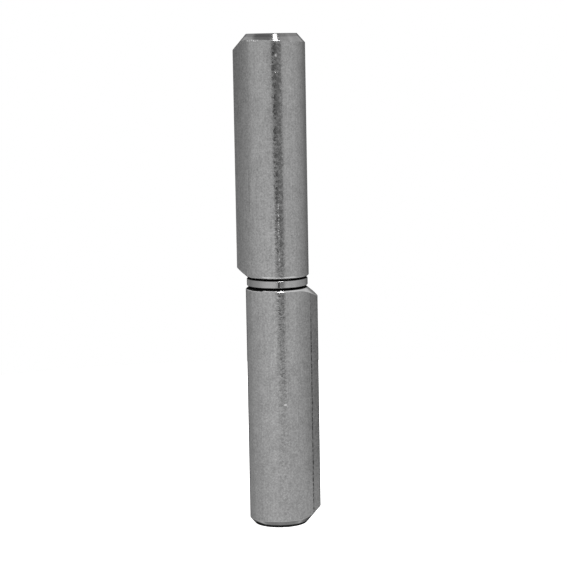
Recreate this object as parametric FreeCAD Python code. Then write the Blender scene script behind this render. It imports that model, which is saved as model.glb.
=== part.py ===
import FreeCAD, Part
import math
import os

# Weld-on barrel hinge, closed and at rest.
# Millimetres. The pin axis is Z, the origin is half way up on the pin axis.
# The lower knuckle's weld nose points to +X, the upper knuckle's to -X.

# Overall size
OVERALL_LENGTH = 140.0
BARREL_DIAMETER = 18.0

# Teardrop section of both knuckles
NOSE_REACH = 11.4            # pin axis to the flat weld face
WELD_FACE_WIDTH = 1.2        # flat strip at the tip of the nose
NOSE_CORNER_RADIUS = 0.3     # between the weld face and each flank
FLANK_CROWN_RADIUS = 60.0    # the flanks are a little rounded, not flat

# Turned cones on the knuckle ends, angles measured from the pin axis
OUTER_FACE_SETBACK = 1.8      # barrel radius less the outer face's
OUTER_CONE_ANGLE = 41.0
INNER_FACE_SETBACK = 0.45     # barrel radius less the inner face's
INNER_CONE_ANGLE = 49.5

# Bearing washer
WASHER_SETBACK = 0.35         # barrel radius less the washer's
WASHER_THICKNESS = 2.1
WASHER_BEVEL = 0.15
HUB_DIAMETER = 12.6
HUB_RISE_ABOVE = 0.45        # gap that shows above the washer
HUB_RISE_BELOW = 0.65        # gap that shows below the washer

# Hinge pin
PIN_DIAMETER = 10.0
PRESSED_LENGTH = 28.0        # pin length inside the lower knuckle
RUNNING_LENGTH = 40.0        # pin length inside the upper knuckle
PIN_END_CHAMFER = 1.0
KNURL_LENGTH = 18.0
KNURL_END_ROOM = 4.0         # plain pin below the knurl
KNURL_RIDGES = 30
KNURL_RISE = 0.15            # height of the ridges over the pin
KNURL_LEAD = 0.6             # run-out of the ridges at both ends

# Fits, all on the radius
RUNNING_CLEARANCE = 0.05     # upper knuckle on the pin
WASHER_CLEARANCE = 0.08      # washer on the pin
PRESS_ALLOWANCE = 0.04       # plain pin in the lower bore, the knurl bites past it

# Blind bores
BORE_END_ROOM = 1.5          # beyond the end of the pin
DRILL_POINT_ANGLE = 59.0     # half of the drill's point
BORE_MOUTH_CHAMFER = 0.5

# Values that follow from the sizes above
BARREL_RADIUS = BARREL_DIAMETER / 2
OUTER_FACE_RADIUS = BARREL_RADIUS - OUTER_FACE_SETBACK
INNER_FACE_RADIUS = BARREL_RADIUS - INNER_FACE_SETBACK
WASHER_RADIUS = BARREL_RADIUS - WASHER_SETBACK
PIN_RADIUS = PIN_DIAMETER / 2
STACK_HEIGHT = HUB_RISE_BELOW + WASHER_THICKNESS + HUB_RISE_ABOVE
INNER_FACE_HEIGHT = STACK_HEIGHT / 2
KNUCKLE_LENGTH = (OVERALL_LENGTH - STACK_HEIGHT) / 2
CUT_MARGIN = 2.0             # how far cutting shapes reach past the metal

Z_AXIS = FreeCAD.Vector(0, 0, 1)
ORIGIN = FreeCAD.Vector(0, 0, 0)


def cone_depth(radial_run, angle_from_axis):
    """Length along the axis in which a cone grows by the radial run."""
    return radial_run / math.tan(math.radians(angle_from_axis))


def turned(points):
    """Solid of revolution about Z from (radius, height) corner points."""
    corners = [FreeCAD.Vector(radius, 0, height) for radius, height in points]
    outline = Part.makePolygon(corners + corners[:1])
    return Part.Face(outline).revolve(ORIGIN, Z_AXIS, 360)


def flank_angles():
    """Directions of the flank's normal where it leaves the barrel and meets the corner, in radians.

    They are measured from the nose direction. The flank is an arc that is tangent to the
    barrel and to the small corner arc beside the weld face.
    """
    corner_x = NOSE_REACH - NOSE_CORNER_RADIUS
    corner_y = WELD_FACE_WIDTH / 2
    corner_distance = math.hypot(corner_x, corner_y)
    centre_shift = FLANK_CROWN_RADIUS - BARREL_RADIUS
    centre_to_corner = FLANK_CROWN_RADIUS - NOSE_CORNER_RADIUS
    along_normal = (centre_to_corner ** 2 - centre_shift ** 2 - corner_distance ** 2) / (2 * centre_shift)
    barrel_end = math.atan2(corner_y, corner_x) + math.acos(along_normal / corner_distance)
    corner_end = math.atan2(
        corner_y + centre_shift * math.sin(barrel_end),
        corner_x + centre_shift * math.cos(barrel_end),
    )
    return barrel_end, corner_end


def teardrop_face(height):
    """Section of the drawn bar, with the nose towards +X, at a given height."""
    barrel_end, corner_end = flank_angles()
    corner_x = NOSE_REACH - NOSE_CORNER_RADIUS
    crown_shift = FLANK_CROWN_RADIUS - BARREL_RADIUS
    crown_x = -crown_shift * math.cos(barrel_end)
    crown_y = -crown_shift * math.sin(barrel_end)

    def arc_point(centre_x, centre_y, radius, turn, side):
        x = centre_x + radius * math.cos(turn)
        y = centre_y + radius * math.sin(turn)
        return FreeCAD.Vector(x, side * y, height)

    def flank(side):
        """Points of one flank: on the barrel, half way, at the corner."""
        middle = (barrel_end + corner_end) / 2
        return [
            arc_point(crown_x, crown_y, FLANK_CROWN_RADIUS, turn, side)
            for turn in (barrel_end, middle, corner_end)
        ]

    def corner(side):
        """Points of one corner arc: at the flank, half way, on the weld face."""
        return [
            arc_point(corner_x, WELD_FACE_WIDTH / 2, NOSE_CORNER_RADIUS, turn, side)
            for turn in (corner_end, corner_end / 2, 0)
        ]

    barrel_back = FreeCAD.Vector(-BARREL_RADIUS, 0, height)
    left_flank, right_flank = flank(1), flank(-1)
    left_corner, right_corner = corner(1), corner(-1)
    outline = Part.Wire([
        Part.Arc(left_flank[0], barrel_back, right_flank[0]).toShape(),
        Part.Arc(*right_flank).toShape(),
        Part.Arc(*right_corner).toShape(),
        Part.makeLine(right_corner[2], left_corner[2]),
        Part.Arc(*reversed(left_corner)).toShape(),
        Part.Arc(*reversed(left_flank)).toShape(),
    ])
    return Part.Face(outline)


def turned_envelope(bottom, top):
    """Lathe-turned limit of a knuckle: a cone on its outer and on its inner end.

    Both cones run on past the barrel, so they cut the nose deeper.
    """
    widest = NOSE_REACH + CUT_MARGIN
    outer_depth = cone_depth(widest - OUTER_FACE_RADIUS, OUTER_CONE_ANGLE)
    inner_depth = cone_depth(widest - INNER_FACE_RADIUS, INNER_CONE_ANGLE)
    return turned([
        (0, bottom),
        (OUTER_FACE_RADIUS, bottom),
        (widest, bottom + outer_depth),
        (widest, top - inner_depth),
        (INNER_FACE_RADIUS, top),
        (0, top),
    ])


def blind_bore(mouth_height, radius, depth):
    """Drilled hole going down from the mouth, with a chamfered mouth."""
    mouth_radius = radius + BORE_MOUTH_CHAMFER
    point_depth = cone_depth(radius, DRILL_POINT_ANGLE)
    return turned([
        (0, mouth_height + CUT_MARGIN),
        (mouth_radius, mouth_height + CUT_MARGIN),
        (mouth_radius, mouth_height),
        (radius, mouth_height - BORE_MOUTH_CHAMFER),
        (radius, mouth_height - depth),
        (0, mouth_height - depth - point_depth),
    ])


def knuckle(bore_radius, bore_depth):
    """One knuckle below the washer: drawn teardrop bar, turned ends, blind bore."""
    top = -INNER_FACE_HEIGHT
    bottom = top - KNUCKLE_LENGTH
    bar = teardrop_face(bottom).extrude(FreeCAD.Vector(0, 0, KNUCKLE_LENGTH))
    body = bar.common(turned_envelope(bottom, top))
    return body.cut(blind_bore(top, bore_radius, bore_depth))


def lower_knuckle():
    """Knuckle that holds the pin fast; its nose points to +X."""
    return knuckle(PIN_RADIUS + PRESS_ALLOWANCE, PRESSED_LENGTH + BORE_END_ROOM)


def upper_knuckle():
    """Knuckle that turns and lifts off; the same bar end for end, nose to -X."""
    body = knuckle(PIN_RADIUS + RUNNING_CLEARANCE, RUNNING_LENGTH + BORE_END_ROOM)
    body.rotate(ORIGIN, FreeCAD.Vector(0, 1, 0), 180)
    return body


def knurl(bottom, top):
    """Straight ridges rolled up on the pin, running out at both ends."""
    crest_radius = PIN_RADIUS + KNURL_RISE
    root_radius = PIN_RADIUS - KNURL_RISE
    step = math.pi / KNURL_RIDGES
    corners = []
    for index in range(2 * KNURL_RIDGES):
        radius = crest_radius if index % 2 == 0 else root_radius
        turn = index * step
        corners.append(FreeCAD.Vector(radius * math.cos(turn), radius * math.sin(turn), bottom))
    star = Part.Face(Part.makePolygon(corners + corners[:1]))
    ridges = star.extrude(FreeCAD.Vector(0, 0, top - bottom))
    run_out = turned([
        (0, bottom),
        (PIN_RADIUS, bottom),
        (crest_radius, bottom + KNURL_LEAD),
        (crest_radius, top - KNURL_LEAD),
        (PIN_RADIUS, top),
        (0, top),
    ])
    return ridges.common(run_out)


def hinge_pin():
    """Pin pressed into the lower knuckle and free in the upper one."""
    bottom = -INNER_FACE_HEIGHT - PRESSED_LENGTH
    top = INNER_FACE_HEIGHT + RUNNING_LENGTH
    end_radius = PIN_RADIUS - PIN_END_CHAMFER
    shank = turned([
        (0, bottom),
        (end_radius, bottom),
        (PIN_RADIUS, bottom + PIN_END_CHAMFER),
        (PIN_RADIUS, top - PIN_END_CHAMFER),
        (end_radius, top),
        (0, top),
    ])
    knurl_bottom = bottom + KNURL_END_ROOM
    return shank.fuse(knurl(knurl_bottom, knurl_bottom + KNURL_LENGTH)).removeSplitter()


def bearing_washer():
    """Bevelled steel ring; its raised hub carries the upper knuckle."""
    hub_bottom = -INNER_FACE_HEIGHT
    ring_bottom = hub_bottom + HUB_RISE_BELOW
    ring_top = ring_bottom + WASHER_THICKNESS
    hub_top = ring_top + HUB_RISE_ABOVE
    bore_radius = PIN_RADIUS + WASHER_CLEARANCE
    hub_radius = HUB_DIAMETER / 2
    return turned([
        (bore_radius, hub_bottom),
        (hub_radius, hub_bottom),
        (hub_radius, ring_bottom),
        (WASHER_RADIUS - WASHER_BEVEL, ring_bottom),
        (WASHER_RADIUS, ring_bottom + WASHER_BEVEL),
        (WASHER_RADIUS, ring_top - WASHER_BEVEL),
        (WASHER_RADIUS - WASHER_BEVEL, ring_top),
        (hub_radius, ring_top),
        (hub_radius, hub_top),
        (bore_radius, hub_top),
    ])


def main():
    """Write every piece of the hinge to its own file."""
    os.makedirs("parts", exist_ok=True)
    pieces = {
        "lower_knuckle": lower_knuckle(),
        "upper_knuckle": upper_knuckle(),
        "hinge_pin": hinge_pin(),
        "bearing_washer": bearing_washer(),
    }
    for name, shape in pieces.items():
        shape.exportStep(os.path.join("parts", name + ".step"))
        print(name, "valid", shape.isValid(), "solids", len(shape.Solids), "volume", round(shape.Volume, 1))


main()
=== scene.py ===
import logging
import math
from dataclasses import dataclass
from enum import Enum
from typing import Callable, Iterable, Sequence

import bmesh
import bpy
from bmesh.types import BMVert
from bpy.types import ColorRamp, Material, Mesh, NodeSocket, NodeTree, Object
from mathutils import Matrix, Vector


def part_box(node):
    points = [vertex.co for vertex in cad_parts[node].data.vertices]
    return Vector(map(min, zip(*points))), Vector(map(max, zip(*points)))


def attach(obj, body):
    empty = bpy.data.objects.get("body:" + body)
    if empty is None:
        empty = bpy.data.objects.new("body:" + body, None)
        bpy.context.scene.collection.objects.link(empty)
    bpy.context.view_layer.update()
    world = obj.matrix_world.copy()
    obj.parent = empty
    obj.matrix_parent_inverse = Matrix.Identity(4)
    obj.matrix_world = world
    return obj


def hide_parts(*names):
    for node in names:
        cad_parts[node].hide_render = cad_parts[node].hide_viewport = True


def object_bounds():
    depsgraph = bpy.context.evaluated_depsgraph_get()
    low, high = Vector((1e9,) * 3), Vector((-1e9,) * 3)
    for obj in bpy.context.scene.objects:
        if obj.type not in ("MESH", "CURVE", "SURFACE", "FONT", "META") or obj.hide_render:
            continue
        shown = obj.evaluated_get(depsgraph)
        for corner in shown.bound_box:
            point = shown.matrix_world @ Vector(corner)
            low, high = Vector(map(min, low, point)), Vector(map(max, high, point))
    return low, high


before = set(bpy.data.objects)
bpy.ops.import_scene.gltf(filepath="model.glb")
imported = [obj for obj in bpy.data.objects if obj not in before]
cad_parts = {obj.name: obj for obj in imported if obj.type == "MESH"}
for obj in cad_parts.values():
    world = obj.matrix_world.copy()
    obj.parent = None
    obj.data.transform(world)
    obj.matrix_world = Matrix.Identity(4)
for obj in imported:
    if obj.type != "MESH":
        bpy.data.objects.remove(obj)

CAD_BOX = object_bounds()
LOG = logging.getLogger("weld_on_hinge")

MM = 0.001
MICRON = 0.000001
# Grey of bright wear, also of the painted rim highlights.
WORN_LEVEL = 0.95
OUTSIDE_FROM = (5.0 * MM, 6.0 * MM)
UNBROKEN_SHARE = (0.0, 0.1)
UP = Vector((0, 0, 1))

Pair = tuple[float, float]
Triple = tuple[float, float, float]


class KnuckleSide(Enum):
    """Which half of the hinge a knuckle is."""

    LOWER = "lower"
    UPPER = "upper"


def math_node(operation: str, swapped: bool = False) -> Callable[..., "Socket"]:
    """Make an operator of Socket that adds one Math node.

    Args:
        operation: Blender's name of the operation.
        swapped: whether the other value comes first, as in a reflected operator.

    Returns:
        The method for the class.
    """

    def method(self: "Socket", *others: object) -> "Socket":
        """Result of the operation on this socket and the other value."""
        values = (*others, self) if swapped else (self, *others)
        return self.bench.arithmetic(operation, *values)

    return method


@dataclass(frozen=True)
class Socket:
    """A socket of a bench's tree, which takes part in Python arithmetic."""

    bench: "NodeBench"
    socket: NodeSocket

    __add__ = math_node("ADD")
    __radd__ = math_node("ADD", swapped=True)
    __sub__ = math_node("SUBTRACT")
    __rsub__ = math_node("SUBTRACT", swapped=True)
    __mul__ = math_node("MULTIPLY")
    __rmul__ = math_node("MULTIPLY", swapped=True)
    __abs__ = math_node("ABSOLUTE")

    def over(self, low: float, high: float) -> "Socket":
        """Smooth step.

        Args:
            low: where it is 0.
            high: where it is 1, which may be the smaller one.

        Returns:
            A value from 0 to 1.
        """
        settings = {"interpolation_type": "SMOOTHSTEP"}
        inputs = {"Value": self, "From Min": low, "From Max": high}
        return self.bench.make("ShaderNodeMapRange", settings, inputs, "Result")

    def between(self, low: float, high: float, soft: float) -> "Socket":
        """1 from low to high and 0 beyond, each end softened by this much both ways."""
        return self.over(low - soft, low + soft) * self.over(high + soft, high - soft)

    def span(self, low: float, high: float = 1.0) -> "Socket":
        """A value from 0 to 1, spread to run from low to high."""
        return low + (high - low) * self

    def blend(self, other: object, share: "Socket") -> "Socket":
        """This value with a share of it, from 0 to 1, given over to the other."""
        return self * (1.0 - share) + other * share


class NodeBench:
    """A node tree and the few ways in which this file adds nodes to it."""

    def __init__(self, tree: NodeTree) -> None:
        """Empty the tree and keep it."""
        tree.nodes.clear()
        self.tree = tree

    def make(
        self,
        kind: str,
        settings: dict[str, object] | None = None,
        inputs: dict[object, object] | None = None,
        output: object = 0,
    ) -> Socket:
        """Add a node of any kind.

        Args:
            kind: Blender's name of the node type.
            settings: node properties, set before the sockets are used.
            inputs: values or sockets by input name or number.
            output: name or number of the output to give back.

        Returns:
            The chosen output as a socket for arithmetic.
        """
        node = self.tree.nodes.new(kind)
        for name, value in (settings or {}).items():
            if name == "stops":
                self.fill_ramp(node.color_ramp, value)
            else:
                setattr(node, name, value)
        for name, value in (inputs or {}).items():
            if isinstance(value, Socket):
                self.tree.links.new(value.socket, node.inputs[name])
            else:
                node.inputs[name].default_value = value
        return Socket(self, node.outputs[output] if len(node.outputs) else None)

    def arithmetic(self, operation: str, *values: object) -> Socket:
        """Result of a Math node with these values on its inputs."""
        return self.make("ShaderNodeMath", {"operation": operation}, dict(enumerate(values)))

    @staticmethod
    def fill_ramp(ramp: ColorRamp, stops: Sequence[Pair]) -> None:
        """Set the stops of a ramp.

        Args:
            ramp: the ramp, which starts with two stops.
            stops: a place from 0 to 1 and a level of grey for each.
        """
        for number, (place, level) in enumerate(stops):
            stop = ramp.elements[number] if number < 2 else ramp.elements.new(place)
            stop.position, stop.color = place, grey(level)

    def mix_colour(self, share: Socket, first: object, second: object) -> Socket:
        """First colour with a share of it given over to the second."""
        inputs = {"Factor": share, 6: first, 7: second}
        return self.make("ShaderNodeMix", {"data_type": "RGBA"}, inputs, 2)

    def parts_of(self, vector: Socket) -> Iterable[Socket]:
        """The x, y and z of a vector socket."""
        node = self.make("ShaderNodeSeparateXYZ", inputs={"Vector": vector}).socket.node
        return (Socket(self, output) for output in node.outputs)

    def vector_math(self, operation: str, *values: object, output: str = "Vector") -> Socket:
        """Result of a Vector Math node with these values on its inputs."""
        inputs = dict(enumerate(values))
        return self.make("ShaderNodeVectorMath", {"operation": operation}, inputs, output)

    def noise(self, vector: Socket, size: float, detail: float, roughness: float = 0.5) -> Socket:
        """Soft noise from 0 to 1.

        Args:
            vector: where to read it, in metres.
            size: rough width of one blot, in metres.
            detail: octaves of finer noise.
            roughness: how strong the finer octaves are.

        Returns:
            The noise value.
        """
        inputs = {"Vector": vector, "Scale": 1.0 / size, "Detail": detail, "Roughness": roughness}
        return self.make("ShaderNodeTexNoise", inputs=inputs, output="Fac")


def grey(level: float) -> tuple[float, float, float, float]:
    """A neutral colour of a linear level."""
    return (level, level, level, 1.0)


def new_material(name: str) -> tuple[Material, NodeBench]:
    """Start a material.

    Args:
        name: its name.

    Returns:
        The material and the bench of its empty tree.
    """
    material = bpy.data.materials.new(name)
    material.use_nodes = True
    return material, NodeBench(material.node_tree)


@dataclass(frozen=True)
class Layer:
    """One layer of fine unevenness in a steel surface, and what it does there.

    A layer with a share rises from 0 to 1 where the noise passes from the one value to the
    other. Any other layer swings about 0.
    """

    size: float
    detail: float
    noise_roughness: float = 0.5
    stretch: Triple | None = None
    share: Pair | None = None
    tone: float = 0.0
    tint: Pair = (0.0, 0.0)
    height: float = 0.0
    dullness: float = 0.0

    def value(self, bench: NodeBench, spot: Socket) -> Socket:
        """How strong the layer is.

        Args:
            bench: the tree to add nodes to.
            spot: where to read the noise.

        Returns:
            A value from -0.5 to 0.5, or from 0 to 1 where the layer has a share.
        """
        if self.stretch:
            spot = bench.vector_math("MULTIPLY", spot, self.stretch)
        noise = bench.noise(spot, self.size, self.detail, self.noise_roughness)
        return noise.over(*self.share) if self.share else noise - 0.5


class SteelSurface:
    """The look of a steel surface while its layers are laid on."""

    def __init__(self, name: str, level: float, contrast: float, roughness: float) -> None:
        """Start an even surface.

        Args:
            name: name of its material.
            level: linear grey of the metal.
            contrast: how far the tone swings either way, as a share of the level.
            roughness: roughness of the metal.
        """
        self.material, self.bench = new_material(name)
        self.spot = self.bench.make("ShaderNodeTexCoord", output="Object")
        self.x, self.y, self.z = self.bench.parts_of(self.spot)
        self.level = level
        self.contrast = contrast
        self.roughness: object = roughness
        self.height: object = 0.0
        self.colour: object = grey(level)
        self.mottle: Socket | None = None

    def lay(self, layers: Sequence[Layer]) -> None:
        """Lay on fine unevenness, and keep the first layer as the mottle that makes painted shade
        ragged.

        Args:
            layers: in the order in which they tint the surface.
        """
        values = [layer.value(self.bench, self.spot) for layer in layers]
        tone: object = 0.5
        for layer, value in zip(layers, values):
            if layer.tone:
                tone = tone + layer.tone * value
            if layer.height:
                self.height = self.height + layer.height * value
            if layer.dullness:
                self.roughness = self.roughness + layer.dullness * value
        dark, light = self.level * (1.0 - self.contrast), self.level * (1.0 + self.contrast)
        self.colour = self.bench.mix_colour(tone, grey(dark), grey(light))
        for layer, value in zip(layers, values):
            share, factor = layer.tint
            if share:
                self.tint(share * value, self.level * factor)
        self.mottle = values[0]

    def tint(self, share: Socket, level: float) -> None:
        """Give a share of the colour over to a level of grey."""
        self.colour = self.bench.mix_colour(share, self.colour, grey(level))

    def radius(self, centre: Pair) -> Socket:
        """Distance from an upright axis.

        Args:
            centre: x and y of the axis.

        Returns:
            The distance in metres.
        """
        arm = self.bench.vector_math("SUBTRACT", self.spot, (*centre, 0.0))
        level_arm = self.bench.vector_math("MULTIPLY", arm, (1.0, 1.0, 0.0))
        return self.bench.vector_math("LENGTH", level_arm, output="Value")

    def strip(self, degrees: float, half_width: float, soft: float) -> Socket:
        """An upright strip on the outside of the hinge.

        Args:
            degrees: azimuth of the strip's middle, counter-clockwise from +X.
            half_width: half its width.
            soft: half the width over which each edge fades.

        Returns:
            A value from 0 to 1.
        """
        cosine, sine = unit(math.radians(degrees))
        across = abs(self.y * cosine - self.x * sine)
        outside = (self.x * cosine + self.y * sine).over(*OUTSIDE_FROM)
        return across.over(half_width + soft, half_width - soft) * outside

    def metal(self, depth: float) -> Socket:
        """Metal with the laid colour, roughness and height.

        Args:
            depth: height in metres of a relief of 1.

        Returns:
            The metal's shader.
        """
        inputs = {"Strength": 1.0, "Distance": depth, "Height": self.height}
        relief = self.bench.make("ShaderNodeBump", inputs=inputs)
        inputs = {"Base Color": self.colour, "Metallic": 1.0, "Roughness": self.roughness}
        inputs["Normal"] = relief
        return self.bench.make("ShaderNodeBsdfPrincipled", inputs=inputs)

    def finished(self, surface: Socket) -> Material:
        """The material with this surface on its output."""
        self.bench.make("ShaderNodeOutputMaterial", inputs={"Surface": surface})
        return self.material


@dataclass(frozen=True)
class DrawScratch:
    """A fine broken line that the drawing die left along one flank of a knuckle."""

    across: float = 9.80 * MM
    low: float = -75.0 * MM
    high: float = 1.0 * MM
    end_fade: float = 1.0 * MM
    line_edge: Pair = (0.195 * MM, 0.0525 * MM)
    front: Pair = (-0.5 * MM, -1.0 * MM)
    wander: float = 0.16 * MM
    wander_length: float = 6.0 * MM
    break_length: float = 1.25 * MM
    break_share: Pair = (0.43, 0.55)
    break_level: float = 0.32
    clear_heights: Pair = (-3.0 * MM, -14.0 * MM)
    faint_level: float = 0.35
    beyond_edge: Pair = (-0.02 * MM, 0.10 * MM)
    beyond_shade: float = 0.08
    shade: float = 0.90
    shade_level: float = 0.06
    depth: float = 1.6

    def mark(self, steel: SteelSurface) -> None:
        """Draw the line on the steel, and paint shade on the flank beyond it.

        Args:
            steel: the surface that is marked.
        """
        along = steel.bench.make("ShaderNodeCombineXYZ", inputs={"Z": steel.z})
        drift = (steel.bench.noise(along, self.wander_length, 2.0) - 0.5) * self.wander
        offset = steel.x - self.across - drift
        front = steel.y.over(*self.front)
        breaks = steel.bench.noise(along, self.break_length, 3.0, 0.7).over(*self.break_share)
        line = abs(offset).over(*self.line_edge) * front * breaks.span(self.break_level)
        line = line * steel.z.between(self.low, self.high, self.end_fade)
        line = line * steel.z.over(*self.clear_heights).span(self.faint_level)
        # Painted shade: the flank beyond the line is darkened in the colour.
        steel.tint(self.beyond_shade * offset.over(*self.beyond_edge) * front, 0.0)
        steel.tint(self.shade * line, steel.level * self.shade_level)
        steel.height = steel.height - self.depth * line


@dataclass(frozen=True)
class Sparks:
    """Bright scuffs in a narrow upright strip of a knuckle."""

    degrees: float
    low: float
    high: float
    half_width: float = 0.20 * MM
    cell: float = 0.42 * MM
    share: Pair = (0.52, 0.64)
    strength: float = 0.55
    dullness: float = 0.45
    end_fade: float = 0.05 * MM
    end_fade_share: float = 0.06

    def mark(self, steel: SteelSurface) -> None:
        """Scratch the steel bright.

        Args:
            steel: the surface that is marked.
        """
        strip = steel.strip(self.degrees, self.half_width, 0.5 * self.half_width)
        fade = self.end_fade + self.end_fade_share * (self.high - self.low)
        strip = strip * steel.z.between(self.low, self.high, fade)
        cells = steel.bench.noise(steel.spot, self.cell, 1.0).over(*self.share)
        bright = self.strength * strip * cells
        steel.tint(bright, WORN_LEVEL)
        steel.roughness = steel.roughness + self.dullness * bright


@dataclass(frozen=True)
class TurnedEnd:
    """Turned end of a knuckle: a flat face and a cone about the lathe's axis.

    This sample's outer ends weren't turned quite true to the drawn bar, so the lathe's axis
    may lie a little off the pin's. Its centre is given in the part's own frame.
    """

    face_radius: float
    centre: Pair = (0.0, 0.0)
    cone: float = math.radians(41.0)

    def face_radius_towards(self, direction: Vector, mirrored: bool) -> float:
        """Distance from the pin's axis to the face's rim in a direction of the section."""
        x, y = self.centre
        return self.face_radius + direction.dot(Vector((-x if mirrored else x, y)))


INNER_END = TurnedEnd(8.55 * MM, cone=math.radians(49.5))


@dataclass(frozen=True)
class CutRim:
    """The rim that a turned cone leaves where it cuts through the drawn skin, worn bright and
    painted with a highlight.
    """

    end: TurnedEnd
    face_height: float
    worn_from: float
    worn_to: float
    strength: float = 1.0
    evenness: float = 0.0
    end_fade: float = 0.5 * MM
    band: Pair = (0.48 * MM, 0.22 * MM)

    def wear_and_highlight(self, steel: SteelSurface, nose_sign: float) -> Socket:
        """Where this rim is worn bright and painted with a glint highlight.

        Args:
            steel: the surface that is worn.
            nose_sign: 1 or -1, the side of the nose along X.

        Returns:
            A value from 0 to 1, which is highest along the rim.
        """
        run = abs(abs(steel.z) - self.face_height) * math.tan(self.end.cone)
        inside = run + self.end.face_radius - steel.radius(self.end.centre)
        length = (steel.x * nose_sign).between(self.worn_from, self.worn_to, self.end_fade)
        return self.strength * inside.over(*self.band) * length


@dataclass(frozen=True)
class PaintedGapShade:
    """Painted shade: dark matt colour on the faces inside the gaps between the parts."""

    reach: float = 8.58 * MM
    half_height: float = 1.73 * MM
    raggedness: float = 0.10 * MM
    spread: float = 0.0
    spread_from: Pair = (-1.0 * MM, -5.0 * MM)
    soft: float = 0.03 * MM
    level: float = 0.012

    def mask(self, steel: SteelSurface) -> Socket:
        """Where the painted shade lies.

        Args:
            steel: the surface under it.

        Returns:
            A value from 0 to 1.
        """
        spread = self.spread * steel.x.over(*self.spread_from)
        edge = steel.radius((0.0, 0.0)) + self.raggedness * steel.mottle - spread
        inward = edge.over(self.reach + self.soft, self.reach - self.soft)
        low, high = self.half_height + self.soft, self.half_height - self.soft
        return inward * abs(steel.z).over(low, high)


@dataclass(frozen=True)
class PaintedRimShade:
    """Painted shade: a dark line round the rim of an outer end."""

    end: TurnedEnd
    strength: float
    spread: float = 0.0
    spread_from: Pair = (-3.0 * MM, -6.0 * MM)
    inside: float = 0.30 * MM
    outside: float = 0.70 * MM
    raggedness: float = 0.24 * MM
    fade: float = 0.12 * MM
    level: float = 0.010

    def mask(self, steel: SteelSurface) -> Socket:
        """Where the painted shade line is.

        Args:
            steel: the surface under it.

        Returns:
            A value from 0 to 1.
        """
        inner = self.end.face_radius - self.inside
        outer = self.end.face_radius + self.outside
        radius = steel.radius(self.end.centre)
        spread = self.spread * steel.x.over(*self.spread_from)
        edge = radius - self.raggedness * steel.mottle - spread
        line = edge.over(outer + self.fade, outer) * radius.over(inner - self.fade, inner)
        return self.strength * line


@dataclass(frozen=True)
class PaintedWasherShade:
    """Painted shade over the washer's rim, light all round and heavier on its left."""

    share: float = 0.08
    left_share: float = 0.30
    left_from: Pair = (-8.3 * MM, -7.0 * MM)
    left_to: Pair = (-1.2 * MM, -5.2 * MM)
    patchiness: float = 0.8
    level: float = 0.05

    def mask(self, steel: SteelSurface) -> Socket:
        """How much of the painted shade lies there, from 0 to 1."""
        left = steel.x.over(*self.left_from) * steel.x.over(*self.left_to)
        return self.share + self.left_share * left * (1.0 + self.patchiness * steel.mottle)


@dataclass(frozen=True)
class PaintedDarkReflection:
    """Painted dark reflection: a small dark upright mark on the front of the washer's rim."""

    degrees: float = -79.0
    half_width: float = 0.198 * MM
    soft: float = 0.09 * MM
    low: float = -0.75 * MM
    high: float = 0.70 * MM
    end_fade: float = 0.1 * MM
    level: float = 0.015

    def mask(self, steel: SteelSurface) -> Socket:
        """Where the painted mark is, from 0 to 1."""
        strip = steel.strip(self.degrees, self.half_width, self.soft)
        return strip * steel.z.between(self.low, self.high, self.end_fade)


# Painted shade and a painted dark reflection, each a dark matt patch over the steel.
PaintedShade = PaintedGapShade | PaintedRimShade | PaintedWasherShade | PaintedDarkReflection


@dataclass(frozen=True)
class DrawnSteel:
    """Bright drawn bar with a dull, finely mottled skin, a few pits and bright specks."""

    name: str
    nose_sign: float
    nose_shade: float = 0.40
    nose_shade_reach: Pair = (5.6 * MM, 11.8 * MM)
    foot_heights: Pair = (-62.0 * MM, -50.0 * MM)
    foot_level: float = 0.55
    scratch: DrawScratch = DrawScratch()
    rims: tuple[CutRim, ...] = ()
    sparks: tuple[Sparks, ...] = ()
    glint_size: float = 0.55 * MM
    glint_share: Pair = (0.52, 0.60)
    level: float = 0.345
    contrast: float = 0.34
    roughness: float = 0.25
    depth: float = 24.0 * MICRON
    layers: tuple[Layer, ...] = (
        Layer(0.52 * MM, 3.0, 0.6, tone=1.65, height=0.6),
        Layer(3.5 * MM, 3.0, 0.6, tone=0.55, dullness=0.06),
        Layer(0.22 * MM, 2.0, stretch=(1.0, 1.0, 0.02), tone=0.55, height=0.35),
        Layer(0.95 * MM, 1.0, 0.4, height=0.8),
        Layer(0.85 * MM, 1.5, share=(0.40, 0.60), dullness=-0.14),
        Layer(
            0.75 * MM, 1.0, 0.4, share=(0.245, 0.185),
            tint=(0.55, 0.35), height=-0.9, dullness=0.10,
        ),
        Layer(
            0.33 * MM, 0.0, stretch=(1.0, 1.0, 0.8), share=(0.80, 0.86),
            tint=(0.50, 1.9), dullness=-0.04,
        ),
    )

    def material(self) -> Material:
        """Build the steel's look.

        Returns:
            The material.
        """
        steel = SteelSurface(self.name, self.level, self.contrast, self.roughness)
        steel.lay(self.layers)
        # Painted shade: the flanks darken towards the nose, less so near the foot.
        towards_nose = (steel.x * self.nose_sign).over(*self.nose_shade_reach)
        shade = towards_nose * steel.z.over(*self.foot_heights).span(self.foot_level)
        steel.tint(self.nose_shade * shade, 0.0)
        # Partly wear, partly painted highlight: the cut rims are made bright and glinting in the
        # colour.
        for rim in self.rims:
            glints = steel.bench.noise(steel.spot, self.glint_size, 1.0).over(*self.glint_share)
            wear_and_highlight = rim.wear_and_highlight(steel, self.nose_sign) * glints.span(rim.evenness)
            steel.tint(wear_and_highlight, WORN_LEVEL)
        for mark in (self.scratch, *self.sparks):
            mark.mark(steel)
        return steel.finished(steel.metal(self.depth))


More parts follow.
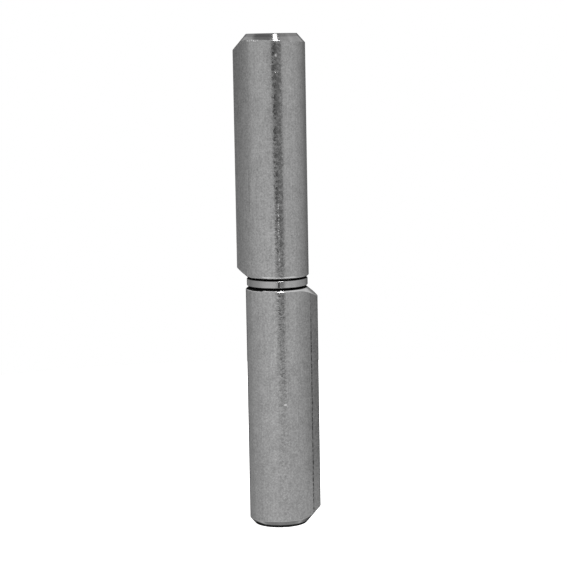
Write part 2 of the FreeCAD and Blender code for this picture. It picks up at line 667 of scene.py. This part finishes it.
@dataclass(frozen=True)
class TurnedSteel:
    """Steel with the fine rings that a lathe or a grinding wheel leaves round the pin axis."""

    name: str
    level: float
    roughness: float
    depth: float = 0.7 * MICRON
    painted_shades: tuple[PaintedShade, ...] = ()
    contrast: float = 0.38
    layers: tuple[Layer, ...] = (
        Layer(1.1 * MM, 3.0, 0.6, tone=0.55, dullness=0.12),
        Layer(0.09 * MM, 2.0, stretch=(0.03, 0.03, 1.0), tone=0.45, height=1.0),
        Layer(0.3 * MM, 2.0, tone=0.35, height=0.8, dullness=0.06),
    )

    def material(self) -> Material:
        """Build the steel's look.

        Returns:
            The material.
        """
        steel = SteelSurface(self.name, self.level, self.contrast, self.roughness)
        steel.lay(self.layers)
        surface = steel.metal(self.depth)
        # Each painted shade mixes dark matt colour over the metal.
        for painted_shade in self.painted_shades:
            dark = steel.bench.make("ShaderNodeBsdfDiffuse", inputs={"Color": grey(painted_shade.level)})
            inputs = {0: painted_shade.mask(steel), 1: surface, 2: dark}
            surface = steel.bench.make("ShaderNodeMixShader", inputs=inputs)
        return steel.finished(surface)


@dataclass(frozen=True)
class Corner:
    """A corner of a turned outline: distance from the axis, height and edge rounding."""

    radius: float
    height: float
    rounding: float = 0.0


def rounded_outline(corners: Sequence[Corner], arc_steps: int, guard: float) -> list[Vector]:
    """Round the inner corners of an outline in the plane of radius and height.

    Args:
        corners: the outline from axis to axis; its first and last corner stay sharp.
        arc_steps: straight pieces in each rounded corner.
        guard: how far beyond each rounding one more point keeps the long faces flat.

    Returns:
        Points as (radius, height) vectors, always as many for as many corners.
    """
    spots = [Vector((corner.radius, corner.height)) for corner in corners]
    points = [spots[0]]
    for before, corner, here, after in zip(spots, corners[1:-1], spots[1:-1], spots[2:]):
        back, ahead = (before - here).normalized(), (after - here).normalized()
        half_opening = math.acos(max(-1.0, min(1.0, back.dot(ahead)))) / 2
        reach = corner.rounding / math.tan(half_opening)
        centre = here + (back + ahead).normalized() * (corner.rounding / math.sin(half_opening))
        first, last = here + back * reach, here + ahead * reach
        points.append(first + back * guard)
        start_arm = first - centre
        turn = start_arm.angle_signed(last - centre)
        for step in range(arc_steps + 1):
            swing = Matrix.Rotation(-turn * step / arc_steps, 2)
            points.append(centre + swing @ start_arm)
        points.append(last + ahead * guard)
    points.append(spots[-1])
    return points


def new_piece(name: str, mesh: Mesh, *finishes: Material) -> Object:
    """Put a finished mesh into the scene.

    Args:
        name: name of the piece.
        mesh: its mesh.
        finishes: its materials, in order.

    Returns:
        The piece.
    """
    for finish in finishes:
        mesh.materials.append(finish)
    piece = bpy.data.objects.new(name, mesh)
    bpy.context.scene.collection.objects.link(piece)
    return piece


def skin_round_axis(
    name: str,
    directions: Sequence[Vector],
    outline_at: Callable[[int], list[Vector]],
    finish_of: Callable[[int], int] = lambda row: 0,
) -> Mesh:
    """Close a surface round the Z axis from one radial outline for each direction.

    Args:
        name: name of the mesh.
        directions: unit vectors round the axis, in order.
        outline_at: gives the (radius, height) points in the direction of that number;
            the first and the last point lie on the axis, or all outlines close on themselves.
        finish_of: gives the number of the material for each row of faces.

    Returns:
        A closed mesh with smooth faces that point outwards.
    """
    shell = bmesh.new()
    columns: list[list[BMVert]] = []
    poles: dict[int, BMVert] = {}
    for number, direction in enumerate(directions):
        columns.append([])
        for row, point in enumerate(outline_at(number)):
            spot = (*direction * point.x, point.y)
            vertex = poles[row] if row in poles else shell.verts.new(spot)
            if point.x <= 0:
                poles[row] = vertex
            columns[-1].append(vertex)
    row_count = len(columns[0])
    for left, right in zip(columns, columns[1:] + columns[:1]):
        for row in range(row_count - 1 if poles else row_count):
            above = (row + 1) % row_count
            ring = (left[row], right[row], right[above], left[above])
            face = shell.faces.new(dict.fromkeys(ring))
            face.material_index = finish_of(row)
    bmesh.ops.recalc_face_normals(shell, faces=shell.faces)
    mesh = bpy.data.meshes.new(name)
    shell.to_mesh(mesh)
    shell.free()
    mesh.polygons.foreach_set("use_smooth", [True] * len(mesh.polygons))
    return mesh


def unit(turn: float) -> Vector:
    """Unit vector at this angle, in radians, from +X."""
    return Vector((math.cos(turn), math.sin(turn)))


def arc(centre: Vector, radius: float, start: float, end: float, steps: int) -> list[Vector]:
    """Evenly spaced points along an arc, without its last one."""
    turns = [start + (end - start) * step / steps for step in range(steps)]
    return [centre + radius * unit(turn) for turn in turns]


def turned_skin(name: str, outline: list[Vector], sides: int) -> Mesh:
    """Surface that has the same radial outline all round the axis."""
    directions = arc(Vector((0, 0)), 1.0, 0.0, math.tau, sides)
    return skin_round_axis(name, directions, lambda number: outline)


@dataclass(frozen=True)
class Teardrop:
    """Section of the drawn bar, with the nose towards +X."""

    barrel_radius: float
    nose_reach: float
    weld_face_width: float = 1.2 * MM
    corner_radius: float = 0.3 * MM
    crown_radius: float = 60.0 * MM
    barrel_steps: int = 132
    flank_steps: int = 16
    flank_guard: float = 0.012
    corner_steps: int = 6
    weld_face_shares: Triple = (0.0, 0.55, 0.92)

    @property
    def corner(self) -> Vector:
        """Centre of the arc between the weld face and a flank."""
        return Vector((self.nose_reach - self.corner_radius, self.weld_face_width / 2))

    def crown(self, barrel_end: float) -> Vector:
        """Centre of a flank that leaves the barrel in this direction."""
        return (self.barrel_radius - self.crown_radius) * unit(barrel_end)

    def flank_ends(self) -> Pair:
        """Directions of the flank's normal at its two ends.

        Returns:
            The angle at the barrel and the angle at the corner arc.
        """
        corner = self.corner
        shift = self.crown_radius - self.barrel_radius
        arm = self.crown_radius - self.corner_radius
        along = (arm ** 2 - shift ** 2 - corner.length_squared) / (2 * shift)
        barrel_end = math.atan2(corner.y, corner.x) + math.acos(along / corner.length)
        to_corner = corner - self.crown(barrel_end)
        return barrel_end, math.atan2(to_corner.y, to_corner.x)

    def half_points(self) -> list[Vector]:
        """Points of the half with positive y.

        Returns:
            Points from the tip round to the back of the barrel.
        """
        barrel_end, corner_end = self.flank_ends()
        crown = self.crown(barrel_end)
        half_face = self.weld_face_width / 2
        tip = [Vector((self.nose_reach, half_face * share)) for share in self.weld_face_shares]
        small = arc(self.corner, self.corner_radius, 0.0, corner_end, self.corner_steps)
        flank = arc(crown, self.crown_radius, corner_end, barrel_end, self.flank_steps)
        guard_turn = corner_end + (barrel_end - corner_end) * self.flank_guard
        flank.insert(1, crown + self.crown_radius * unit(guard_turn))
        steps = self.barrel_steps // 2
        barrel = arc(Vector((0, 0)), self.barrel_radius, barrel_end, math.pi, steps)
        return tip + small + flank + barrel + [Vector((-self.barrel_radius, 0))]

    def points(self) -> list[Vector]:
        """Points of the whole section.

        Returns:
            Points counter-clockwise from the middle of the tip.
        """
        half = self.half_points()
        mirrored = [Vector((point.x, -point.y)) for point in reversed(half[1:-1])]
        return half + mirrored


@dataclass
class Knuckle:
    """One drawn and turned half of the hinge, with its blind bore."""

    side: KnuckleSide
    bore_radius: float
    bore_depth: float
    outer_end: TurnedEnd
    rim_skin_steps: int
    inner_end: TurnedEnd = INNER_END
    bore_mouth: float = 0.5 * MM
    drill_point: float = math.radians(59.0)
    edge: float = 0.22 * MM
    fine_edge: float = 0.06 * MM
    arc_steps: int = 4
    guard: float = 0.05 * MM

    @property
    def node(self) -> str:
        """Name of the CAD node that this piece stands for."""
        return self.side.value + "_knuckle"

    def outline(self, wall: Vector, bottom: float, top: float) -> list[Vector]:
        """Radial outline of the knuckle through one point of its section.

        Args:
            wall: the point of the section.
            bottom: height of the outer face.
            top: height of the inner face.

        Returns:
            Points as (radius, height) vectors.
        """
        wall_radius = wall.length
        mirrored = self.side is KnuckleSide.UPPER
        face_radius = self.outer_end.face_radius_towards(wall.normalized(), mirrored)
        outer_rise = (wall_radius - face_radius) / math.tan(self.outer_end.cone)
        inner_drop = (wall_radius - self.inner_end.face_radius) / math.tan(self.inner_end.cone)
        bore_end = top - self.bore_depth
        point_depth = self.bore_radius / math.tan(self.drill_point)
        corners = [
            Corner(0, bottom),
            Corner(face_radius, bottom, self.edge),
            Corner(wall_radius, bottom + outer_rise, self.edge),
            Corner(wall_radius, top - inner_drop, self.edge),
            Corner(self.inner_end.face_radius, top, self.edge),
            Corner(self.bore_radius + self.bore_mouth, top, self.fine_edge),
            Corner(self.bore_radius, top - self.bore_mouth, self.fine_edge),
            Corner(self.bore_radius, bore_end, self.fine_edge),
            Corner(0, bore_end - point_depth),
        ]
        return rounded_outline(corners, self.arc_steps, self.guard)

    def finish_of(self, row: int) -> int:
        """Choose the finish of a row of faces.

        Args:
            row: number of the row.

        Returns:
            0 for the skin, 1 for the outer end, 2 for the inner end and the bore.
        """
        points_in_corner = self.arc_steps + 3
        rim_end = 2 + points_in_corner + self.arc_steps
        inner_rim_middle = 2 + 2 * points_in_corner + self.arc_steps // 2
        if row < rim_end - self.rim_skin_steps:
            return 1
        return 0 if row < inner_rim_middle else 2

    def build(self, *finishes: Material) -> Object:
        """Make the knuckle in the place of its node.

        Args:
            finishes: steel of the sides, of the outer end, and of the inner end and bore.

        Returns:
            The piece, riding on its body.
        """
        low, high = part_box(self.node)
        lower = self.side is KnuckleSide.LOWER
        bottom, top = (low.z, high.z) if lower else (-high.z, -low.z)
        walls = Teardrop(high.y, nose_reach=high.x if lower else -low.x).points()
        mesh = skin_round_axis(
            self.node + "_skin",
            [wall.normalized() for wall in walls],
            lambda number: self.outline(walls[number], bottom, top),
            self.finish_of,
        )
        if not lower:
            mesh.transform(Matrix.Rotation(math.pi, 4, "Y"))
        piece = new_piece(self.side.value + "_knuckle_body", mesh, *finishes)
        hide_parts(self.node)
        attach(piece, self.side.value)
        return piece


@dataclass
class BearingWasher:
    """Bevelled ring with a raised hub that carries the upper knuckle."""

    bore_radius: float = 5.08 * MM
    hub_radius: float = 6.3 * MM
    hub_below: float = 0.65 * MM
    hub_above: float = 0.45 * MM
    bevel: float = 0.15 * MM
    edge: float = 0.12 * MM
    arc_steps: int = 3
    guard: float = 0.02 * MM
    sides: int = 144

    def outline(self) -> list[Vector]:
        """Radial outline of the ring, worked out from its node's box.

        Returns:
            Points of the closed outline as (radius, height) vectors.
        """
        low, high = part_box("bearing_washer")
        sides = (
            (low.z, low.z + self.hub_below, self.bevel),
            (high.z, high.z - self.hub_above, -self.bevel),
        )
        below, above = (
            [
                (self.bore_radius, end),
                (self.hub_radius, end),
                (self.hub_radius, ring),
                (high.x - self.bevel, ring),
                (high.x, ring + bevel),
            ]
            for end, ring, bevel in sides
        )
        corners = below + above[::-1]
        closed = corners[-1:] + corners + corners[:1]
        rounded = [Corner(radius, height, self.edge) for radius, height in closed]
        return rounded_outline(rounded, self.arc_steps, self.guard)[1:-1]

    def build(self, finish: Material) -> Object:
        """Make the washer in the place of its node.

        Args:
            finish: the washer's steel.

        Returns:
            The piece, riding on its body.
        """
        mesh = turned_skin("bearing_washer_skin", self.outline(), self.sides)
        piece = new_piece("bearing_washer_ring", mesh, finish)
        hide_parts("bearing_washer")
        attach(piece, "washer")
        return piece


@dataclass
class HingePin:
    """Ground pin, held in the lower knuckle by a band of straight ridges."""

    radius: float = 5.0 * MM
    end_chamfer: float = 1.0 * MM
    edge: float = 0.12 * MM
    arc_steps: int = 4
    guard: float = 0.05 * MM
    sides: int = 96
    ridge_count: int = 30
    ridge_rise: float = 0.15 * MM
    ridge_half_width: float = 0.2 * MM
    ridge_length: float = 18.0 * MM
    ridge_start: float = 4.0 * MM
    ridge_faces: int = 4

    def shank(self, finish: Material) -> Object:
        """Make the turned pin with its chamfered ends.

        Args:
            finish: the pin's steel.

        Returns:
            The shank as one piece.
        """
        low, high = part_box("hinge_pin")
        end = self.radius - self.end_chamfer
        corners = [
            Corner(0, low.z),
            Corner(end, low.z, self.edge),
            Corner(self.radius, low.z + self.end_chamfer, self.edge),
            Corner(self.radius, high.z - self.end_chamfer, self.edge),
            Corner(end, high.z, self.edge),
            Corner(0, high.z),
        ]
        outline = rounded_outline(corners, self.arc_steps, self.guard)
        mesh = turned_skin("hinge_pin_skin", outline, self.sides)
        return new_piece("hinge_pin_shank", mesh, finish)

    def knurl_tree(self, finish: Material) -> NodeTree:
        """Build the tree that stands one ridge at each point of a circle.

        Args:
            finish: the pin's steel.

        Returns:
            A Geometry Nodes tree with named inputs for its sizes.
        """
        tree = bpy.data.node_groups.new("pin_knurl", "GeometryNodeTree")
        face = tree.interface
        face.new_socket("Geometry", in_out="OUTPUT", socket_type="NodeSocketGeometry")
        face.new_socket("Ridge count", in_out="INPUT", socket_type="NodeSocketInt")
        for title in ("Circle radius", "Ridge radius", "Ridge length", "Ridge middle"):
            face.new_socket(title, in_out="INPUT", socket_type="NodeSocketFloat")
        bench = NodeBench(tree)
        count, circle_radius, ridge_radius, length, middle = (
            bench.make("NodeGroupInput", output=item.name)
            for item in face.items_tree
            if item.in_out == "INPUT"
        )
        inputs = {"Vertices": count, "Radius": circle_radius}
        circle = bench.make("GeometryNodeMeshCircle", {"fill_type": "NONE"}, inputs)
        inputs = {"Vertices": self.ridge_faces, "Radius": ridge_radius, "Depth": length}
        ridge = bench.make("GeometryNodeMeshCylinder", {"fill_type": "NGON"}, inputs)
        inputs = {"Vector": bench.make("GeometryNodeInputPosition")}
        facing = bench.make("FunctionNodeAlignRotationToVector", {"axis": "X"}, inputs)
        inputs = {"Points": circle, "Instance": ridge, "Rotation": facing}
        ridges = bench.make("GeometryNodeInstanceOnPoints", inputs=inputs)
        lift = bench.make("ShaderNodeCombineXYZ", inputs={"Z": middle})
        inputs = {"Geometry": ridges, "Translation": lift}
        band = bench.make("GeometryNodeTransform", inputs=inputs)
        solid = bench.make("GeometryNodeRealizeInstances", inputs={"Geometry": band})
        inputs = {"Geometry": solid, "Material": finish}
        dressed = bench.make("GeometryNodeSetMaterial", inputs=inputs)
        bench.make("NodeGroupOutput", inputs={"Geometry": dressed})
        return tree

    def knurl(self, finish: Material) -> Object:
        """Make the band of ridges that bites into the lower knuckle's bore.

        Args:
            finish: the pin's steel.

        Returns:
            The band as one piece.
        """
        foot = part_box("hinge_pin")[0].z
        sizes = {
            "Ridge count": self.ridge_count,
            "Circle radius": self.radius + self.ridge_rise - self.ridge_half_width,
            "Ridge radius": self.ridge_half_width,
            "Ridge length": self.ridge_length,
            "Ridge middle": foot + self.ridge_start + self.ridge_length / 2,
        }
        carrier = new_piece("knurl_carrier", bpy.data.meshes.new("knurl_carrier"), finish)
        maker = carrier.modifiers.new("knurl", "NODES")
        maker.node_group = self.knurl_tree(finish)
        for item in maker.node_group.interface.items_tree:
            if item.name in sizes:
                maker[item.identifier] = sizes[item.name]
        graph = bpy.context.evaluated_depsgraph_get()
        mesh = bpy.data.meshes.new_from_object(carrier.evaluated_get(graph), depsgraph=graph)
        carrier.modifiers.remove(maker)
        bpy.data.objects.remove(carrier)
        mesh.materials.clear()
        return new_piece("hinge_pin_knurl", mesh, finish)

    def build(self, finish: Material) -> list[Object]:
        """Make the pin in the place of its node.

        Args:
            finish: the pin's steel.

        Returns:
            The shank and the knurl, riding on the pin's body.
        """
        shank = self.shank(finish)
        knurl = self.knurl(finish)
        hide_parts("hinge_pin")
        for piece in (shank, knurl):
            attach(piece, "lower")
        return [shank, knurl]


@dataclass(frozen=True)
class WallPatch:
    """A lighter or darker patch on the walls, with soft edges.

    Across each edge, from its first value to its second, the patch appears. Turns are
    degrees to the right of the camera, and rises are sines of the angle above level. The
    change is added to the wall's level, or is a share of it where the patch scales.
    """

    change: float
    turns: tuple[Pair, ...]
    rises: tuple[Pair, ...]
    scales: bool = False

    def on(self, wall: Socket, turn: Socket, rise: Socket) -> Socket:
        """Lay the patch on the wall.

        Args:
            wall: level of the wall so far.
            turn: degrees to the right of the camera.
            rise: sine of the angle above level.

        Returns:
            The new level.
        """
        change: object = self.change
        for value, edges in ((turn, self.turns), (rise, self.rises)):
            for edge in edges:
                change = change * value.over(*edge)
        return wall * (1.0 + change) if self.scales else wall + change


@dataclass(frozen=True)
class CameraGap:
    """The dark gap between the walls, in which the camera stands.

    Its sides are in degrees to the right of the camera, and lean to the right further down.
    """

    left: float = -6.3
    left_soft: float = 1.3
    right: float = 28.5
    right_soft: float = 2.5
    lean: float = 10.0
    knee: float = 0.0924
    knee_lean: float = 150.0
    step: float = 1.2
    step_rise: Pair = (-0.136, -0.144)
    closing: float = 3.5
    closing_rise: Pair = (-0.126, -0.161)
    bottom: Pair = (-0.196, -0.152)
    top: Pair = (0.60, 0.30)
    level: float = 0.125
    right_gain: float = 0.20
    right_from: Pair = (-2.0, 13.0)
    low_shade: float = 0.26
    low_rise: Pair = (-0.137, -0.147)

    def on(self, wall: Socket, turn: Socket, rise: Socket) -> Socket:
        """Cut the gap into the wall.

        Args:
            wall: level of the wall so far.
            turn: degrees to the right of the camera.
            rise: sine of the angle above level.

        Returns:
            The new level.
        """
        depth = abs(wall.bench.arithmetic("MINIMUM", rise, 0.0))
        knee = wall.bench.arithmetic("MAXIMUM", depth - self.knee, 0.0)
        lean = self.lean * depth + self.knee_lean * knee + self.step * rise.over(*self.step_rise)
        gap = (turn - lean - self.left).over(-self.left_soft, self.left_soft)
        closed = turn + self.closing * rise.over(*self.closing_rise)
        gap = gap * closed.over(self.right + self.right_soft, self.right - self.right_soft)
        gap = gap * rise.over(*self.bottom) * rise.over(*self.top)
        level = self.level + self.right_gain * (turn - lean).over(*self.right_from)
        level = level * (1.0 - self.low_shade * rise.over(*self.low_rise))
        return wall.blend(level, gap)


@dataclass(frozen=True)
class SoftLamp:
    """A small lamp that points at the hinge and that the camera can't see.

    Its place is given as distances to the right, towards the camera and up.
    """

    name: str
    offset: Triple
    size: Pair
    watts: float

    def build(self, right: Vector, towards_camera: Vector) -> None:
        """Add the lamp.

        Args:
            right: level direction to the right of the camera.
            towards_camera: level direction from the hinge to the camera.
        """
        lamp = bpy.data.lights.new(self.name, "AREA")
        lamp.shape = "ELLIPSE"
        lamp.size, lamp.size_y = self.size
        lamp.energy = self.watts
        holder = bpy.data.objects.new(self.name, lamp)
        sideways, forwards, upwards = self.offset
        holder.location = right * sideways + towards_camera * forwards + UP * upwards
        holder.rotation_euler = (-holder.location).to_track_quat("-Z", "Y").to_euler()
        holder.visible_camera = False
        bpy.context.scene.collection.objects.link(holder)


@dataclass
class Studio:
    """Pale round table, uneven pale walls, soft lamps and the camera."""

    azimuth: float = math.radians(8.0)
    camera_distance: float = 565.7 * MM
    camera_height: float = 76.0 * MM
    camera_roll: float = math.radians(1.02)
    focal_pixels: float = 2006.6
    picture_width: float = 567.0
    aim_right: float = 1.77 * MM
    aim_up: float = -0.67 * MM
    sensor: float = 36.0
    clip: Pair = (0.01, 20.0)
    table_radius: float = 0.27
    table_sides: int = 128
    table_level: float = 0.80
    table_lift: float = 1.1
    plain_level: float = 0.95
    lamps: tuple[SoftLamp, ...] = (
        SoftLamp("overhead_lamp", (0.080, 0.06, 0.62), (0.075, 0.07), 0.11),
        SoftLamp("front_lamp", (0.095, 0.36, 0.36), (0.145, 0.26), 1.9),
        SoftLamp("seam_lamp", (0.089, 0.167, 0.59), (0.11, 0.05), 0.09),
    )
    wall_levels: tuple[Pair, ...] = (
        (-180, 0.14), (-165, 0.24), (-150, 0.38), (-135, 0.49), (-118, 0.57),
        (-106, 0.70), (-94, 0.80), (-84, 0.85), (-70, 0.89), (-52, 0.91), (-36, 0.95),
        (-20, 1), (0, 0.96), (20, 0.87), (50, 0.87), (72, 0.84), (96, 0.71),
        (120, 0.52), (135, 0.36), (150, 0.24), (165, 0.18), (180, 0.14),
    )
    patches: tuple[WallPatch, ...] = (
        WallPatch(-0.16, ((-34, -18), (40, 20)), ((-0.126, -0.021),)),
        WallPatch(-0.12, ((66, 86), (122, 98)), ((-0.103, -0.150),)),
        WallPatch(0.22, ((66, 86), (122, 98)), ((-0.212, -0.230),)),
        WallPatch(-0.20, ((-94, -110),), ((-0.085, -0.015),), True),
        WallPatch(-0.12, ((-106, -92), (-60, -74)), ((-0.136, -0.150),), True),
        WallPatch(-0.06, ((-40, -60),), ((-0.110, -0.020),), True),
        WallPatch(-0.12, ((-52, -36), (-4, -14)), ((-0.075, -0.015),)),
        WallPatch(0.09, ((-74, -54), (2, -8)), ((-0.112, -0.138), (-0.195, -0.145))),
        WallPatch(0.17, ((-6, 12), (36, 28)), ((-0.165, -0.200),)),
        WallPatch(-0.09, ((-75, -50), (75, 50)), ((-0.243, -0.270),), True),
    )
    gap: CameraGap = CameraGap()
    high_wall_rise: Pair = (0.22, 0.40)
    high_wall_front: Pair = (-0.5, 0.2)
    high_wall_levels: Pair = (0.50, 0.85)
    ceiling_rise: Pair = (0.66, 0.84)
    ceiling_side: Pair = (0.20, 0.40)
    ceiling_levels: Pair = (0.22, 0.44)
    ceiling_panel_level: float = 0.60
    ceiling_panel_edge: Pair = (0.14, 0.0)
    ceiling_panel_slope: float = 0.695
    ceiling_panel_skew: float = 0.155
    back_shades: tuple[tuple[float, Pair, Pair], ...] = (
        (0.75, (-0.84, -0.97), (-0.068, -0.161)),
        (0.70, (-0.62, -0.84), (-0.26, -0.38)),
    )
    floor_rise: Pair = (-0.70, -0.90)
    floor_levels: Pair = (0.31, 1.16)
    floor_panel_edge: Pair = (-0.14, -0.26)
    floor_panel_slope: float = 0.67

    @property
    def right(self) -> Vector:
        """Level direction to the right of the camera."""
        return unit(self.azimuth).to_3d()

    @property
    def towards_camera(self) -> Vector:
        """Level direction from the hinge to the camera."""
        return unit(self.azimuth - math.pi / 2).to_3d()

    def camera(self) -> None:
        """Place the camera at the photograph's viewing angle."""
        position = self.towards_camera * self.camera_distance + UP * self.camera_height
        target = self.right * self.aim_right + UP * self.aim_up
        forward = (target - position).normalized()
        level_right = forward.cross(UP).normalized()
        level_up = level_right.cross(forward)
        cosine, sine = unit(self.camera_roll)
        side = level_right * cosine - level_up * sine
        top = level_up * cosine + level_right * sine
        pose = Matrix((side, top, -forward)).transposed().to_4x4()
        pose.translation = position
        lens = bpy.data.cameras.new("camera")
        lens.sensor_width = self.sensor
        lens.lens = self.focal_pixels / self.picture_width * self.sensor
        lens.clip_start, lens.clip_end = self.clip
        eye = bpy.data.objects.new("camera", lens)
        eye.matrix_world = pose
        bpy.context.scene.collection.objects.link(eye)
        bpy.context.scene.camera = eye

    def wall_level(self, bench: NodeBench, side: Socket, front: Socket, rise: Socket) -> Socket:
        """Level of the walls, before the ceiling and the floor.

        Args:
            bench: the tree to add nodes to.
            side: how far a direction points to the right of the camera.
            front: how far it points towards the camera.
            rise: how far it points up.

        Returns:
            The level.
        """
        turn = bench.arithmetic("ARCTAN2", side, front) * (180.0 / math.pi)
        stops = [((degrees + 180.0) / 360.0, level) for degrees, level in self.wall_levels]
        inputs = {"Fac": (turn + 180.0) * (1.0 / 360.0)}
        wall = bench.make("ShaderNodeValToRGB", {"stops": stops}, inputs, "Color")
        for patch in self.patches:
            wall = patch.on(wall, turn, rise)
        wall = self.gap.on(wall, turn, rise)
        high_wall = front.over(*self.high_wall_front).span(*self.high_wall_levels)
        return wall.blend(high_wall, rise.over(*self.high_wall_rise))

    def ceiling_level(self, side: Socket, front: Socket) -> Socket:
        """Level of the ceiling, darker on the left and with a panel at the back.

        Args:
            side: how far a direction points to the right of the camera.
            front: how far it points towards the camera.

        Returns:
            The level.
        """
        ceiling = side.over(*self.ceiling_side).span(*self.ceiling_levels)
        line = front + self.ceiling_panel_slope * abs(side) - self.ceiling_panel_skew * side
        return ceiling.blend(self.ceiling_panel_level, line.over(*self.ceiling_panel_edge))

    def floor_level(self, side: Socket, front: Socket) -> Socket:
        """Level of the floor, which is bright at the back."""
        line = front + self.floor_panel_slope * abs(side)
        return line.over(*self.floor_panel_edge).span(*self.floor_levels)

    def surroundings(self) -> None:
        """Add walls, ceiling and floor for the steel to reflect.

        Camera rays meet plain white. Metal meets the walls as they hang, and everything
        else gets them at a plain level.
        """
        world = bpy.data.worlds.new("studio")
        world.use_nodes = True
        bench = NodeBench(world.node_tree)
        direction = bench.make("ShaderNodeTexCoord", output="Generated")
        side, front, rise = (
            bench.vector_math("DOT_PRODUCT", direction, tuple(axis), output="Value")
            for axis in (self.right, self.towards_camera, UP)
        )
        level = self.wall_level(bench, side, front, rise)
        level = level.blend(self.ceiling_level(side, front), rise.over(*self.ceiling_rise))
        for shade, fronts, rises in self.back_shades:
            level = level * (1.0 - shade * front.over(*fronts) * rise.over(*rises))
        level = level.blend(self.floor_level(side, front), rise.over(*self.floor_rise))

        seen, metal, glass = (
            bench.make("ShaderNodeLightPath", output="Is %s Ray" % kind)
            for kind in ("Camera", "Glossy", "Transmission")
        )
        shown = seen + (metal + glass) * level
        strength = shown + (1.0 - seen - metal - glass) * self.plain_level * level
        inputs = {"Color": grey(1.0), "Strength": strength}
        glow = bench.make("ShaderNodeBackground", inputs=inputs)
        bench.make("ShaderNodeOutputWorld", inputs={"Surface": glow})
        bpy.context.scene.world = world

    def table(self) -> None:
        """Add the pale round table top that the hinge stands on."""
        plate = bmesh.new()
        bmesh.ops.create_circle(
            plate, cap_ends=True, segments=self.table_sides, radius=self.table_radius
        )
        bmesh.ops.translate(plate, verts=plate.verts, vec=(0, 0, CAD_BOX[0].z))
        mesh = bpy.data.meshes.new("table_top")
        plate.to_mesh(mesh)
        plate.free()
        paint, bench = new_material("pale_table")
        matt = bench.make("ShaderNodeBsdfDiffuse", inputs={"Color": grey(self.table_level)})
        seen = bench.make("ShaderNodeLightPath", output="Is Camera Ray")
        inputs = {"Color": grey(1.0), "Strength": self.table_lift * seen}
        lift = bench.make("ShaderNodeEmission", inputs=inputs)
        both = bench.make("ShaderNodeAddShader", inputs={0: matt, 1: lift})
        bench.make("ShaderNodeOutputMaterial", inputs={"Surface": both})
        top = new_piece("table_top", mesh, paint)
        top.visible_glossy = False

    def build(self) -> None:
        """Set up the table, the light, the camera and the view."""
        bpy.context.scene.view_settings.view_transform = "Standard"
        self.camera()
        self.surroundings()
        self.table()
        for lamp in self.lamps:
            lamp.build(self.right, self.towards_camera)


def end_steel(name: str, end: TurnedEnd, strength: float, spread: float) -> Material:
    """Turned steel of an outer end, with a painted shade line round its rim."""
    # Painted shade: a dark line round the rim of the outer end.
    rim = PaintedRimShade(end, strength, spread)
    # Painted shade: the outer ends' turned steel has a darker grey than the inner ends'.
    return TurnedSteel(name, 0.54, 0.14, 0.3 * MICRON, (rim,)).material()


def build_lower_knuckle() -> Object:
    """Make the lower knuckle, with a scuff on its skin and painted shade in the gap at its inner
    end.

    Returns:
        The piece.
    """
    end = TurnedEnd(7.45 * MM, centre=(-0.16 * MM, 0.25 * MM))
    scuff = Sparks(-71.0, -34.4 * MM, -33.8 * MM, half_width=0.42 * MM, share=UNBROKEN_SHARE)
    # Painted shade: the dark gap line above the lower knuckle, ragged and wider on its left.
    painted_gap_shade = PaintedGapShade(8.56 * MM, 2.01 * MM, raggedness=0.5 * MM, spread=0.28 * MM)
    skin = DrawnSteel("drawn_steel_lower", 1.0, sparks=(scuff,)).material()
    outer = end_steel("turned_lower_end_steel", end, 0.97, 0.38 * MM)
    # Painted light: the inner end's turned steel has a brighter grey than the outer ends'.
    inner = TurnedSteel("turned_steel_painted_gap_shade", 0.92, 0.16, painted_shades=(painted_gap_shade,)).material()
    knuckle = Knuckle(KnuckleSide.LOWER, 5.04 * MM, 29.5 * MM, end, rim_skin_steps=0)
    return knuckle.build(skin, outer, inner)


def build_upper_knuckle() -> Object:
    """Make the upper knuckle, with worn rims painted with highlights, scuffs and a faint scratch.

    Returns:
        The piece.
    """
    end = TurnedEnd(7.12 * MM, centre=(-0.36 * MM, -0.35 * MM))
    # Partly wear, partly painted highlight: glints along the top rim and a pale line along the
    # inner rim.
    rims = (
        CutRim(end, 70.0 * MM, 3.2 * MM, 7.0 * MM),
        CutRim(INNER_END, 1.6 * MM, -6.2 * MM, 3.0 * MM, strength=0.6, evenness=0.75),
    )
    sparks = (
        Sparks(-77.6, 3.6 * MM, 23.0 * MM),
        Sparks(-77.0, 63.8 * MM, 64.5 * MM, 0.32 * MM, share=UNBROKEN_SHARE, strength=0.32),
    )
    scratch = DrawScratch(-6.74 * MM, 20.5 * MM, 33.0 * MM, beyond_shade=0.0)
    # Painted shade: the dark gap line below the upper knuckle.
    painted_shade = PaintedGapShade(8.72 * MM, 1.91 * MM)
    skin = DrawnSteel(
        "drawn_steel_upper", -1.0, nose_shade=0.28, scratch=scratch, rims=rims, sparks=sparks
    ).material()
    outer = end_steel("turned_upper_end_steel", end, 0.28, 0.0)
    # Painted light: the inner end's turned steel has a brighter grey than the outer ends'.
    inner = TurnedSteel("turned_inner_steel", 0.92, 0.25, painted_shades=(painted_shade,)).material()
    knuckle = Knuckle(KnuckleSide.UPPER, 5.05 * MM, 41.5 * MM, end, rim_skin_steps=2)
    return knuckle.build(skin, outer, inner)


def main() -> None:
    """Build the studio and the four pieces of the hinge."""
    logging.basicConfig(level=logging.INFO, format="%(name)s: %(message)s")
    Studio().build()
    pieces = [build_lower_knuckle(), build_upper_knuckle()]
    # Painted shade and a painted dark reflection on the washer.
    painted_shades = (PaintedWasherShade(), PaintedGapShade(), PaintedDarkReflection())
    washer_steel = TurnedSteel("washer_turned_steel", 0.42, 0.19, 0.1 * MICRON, painted_shades)
    pieces.append(BearingWasher().build(washer_steel.material()))
    pieces += HingePin().build(TurnedSteel("pin_ground_steel", 0.40, 0.20).material())
    for piece in pieces:
        size = ", ".join("%.2f" % (side / MM) for side in piece.dimensions)
        LOG.info("%s: %d faces, %s mm", piece.name, len(piece.data.polygons), size)


if __name__ == "__main__":
    main()
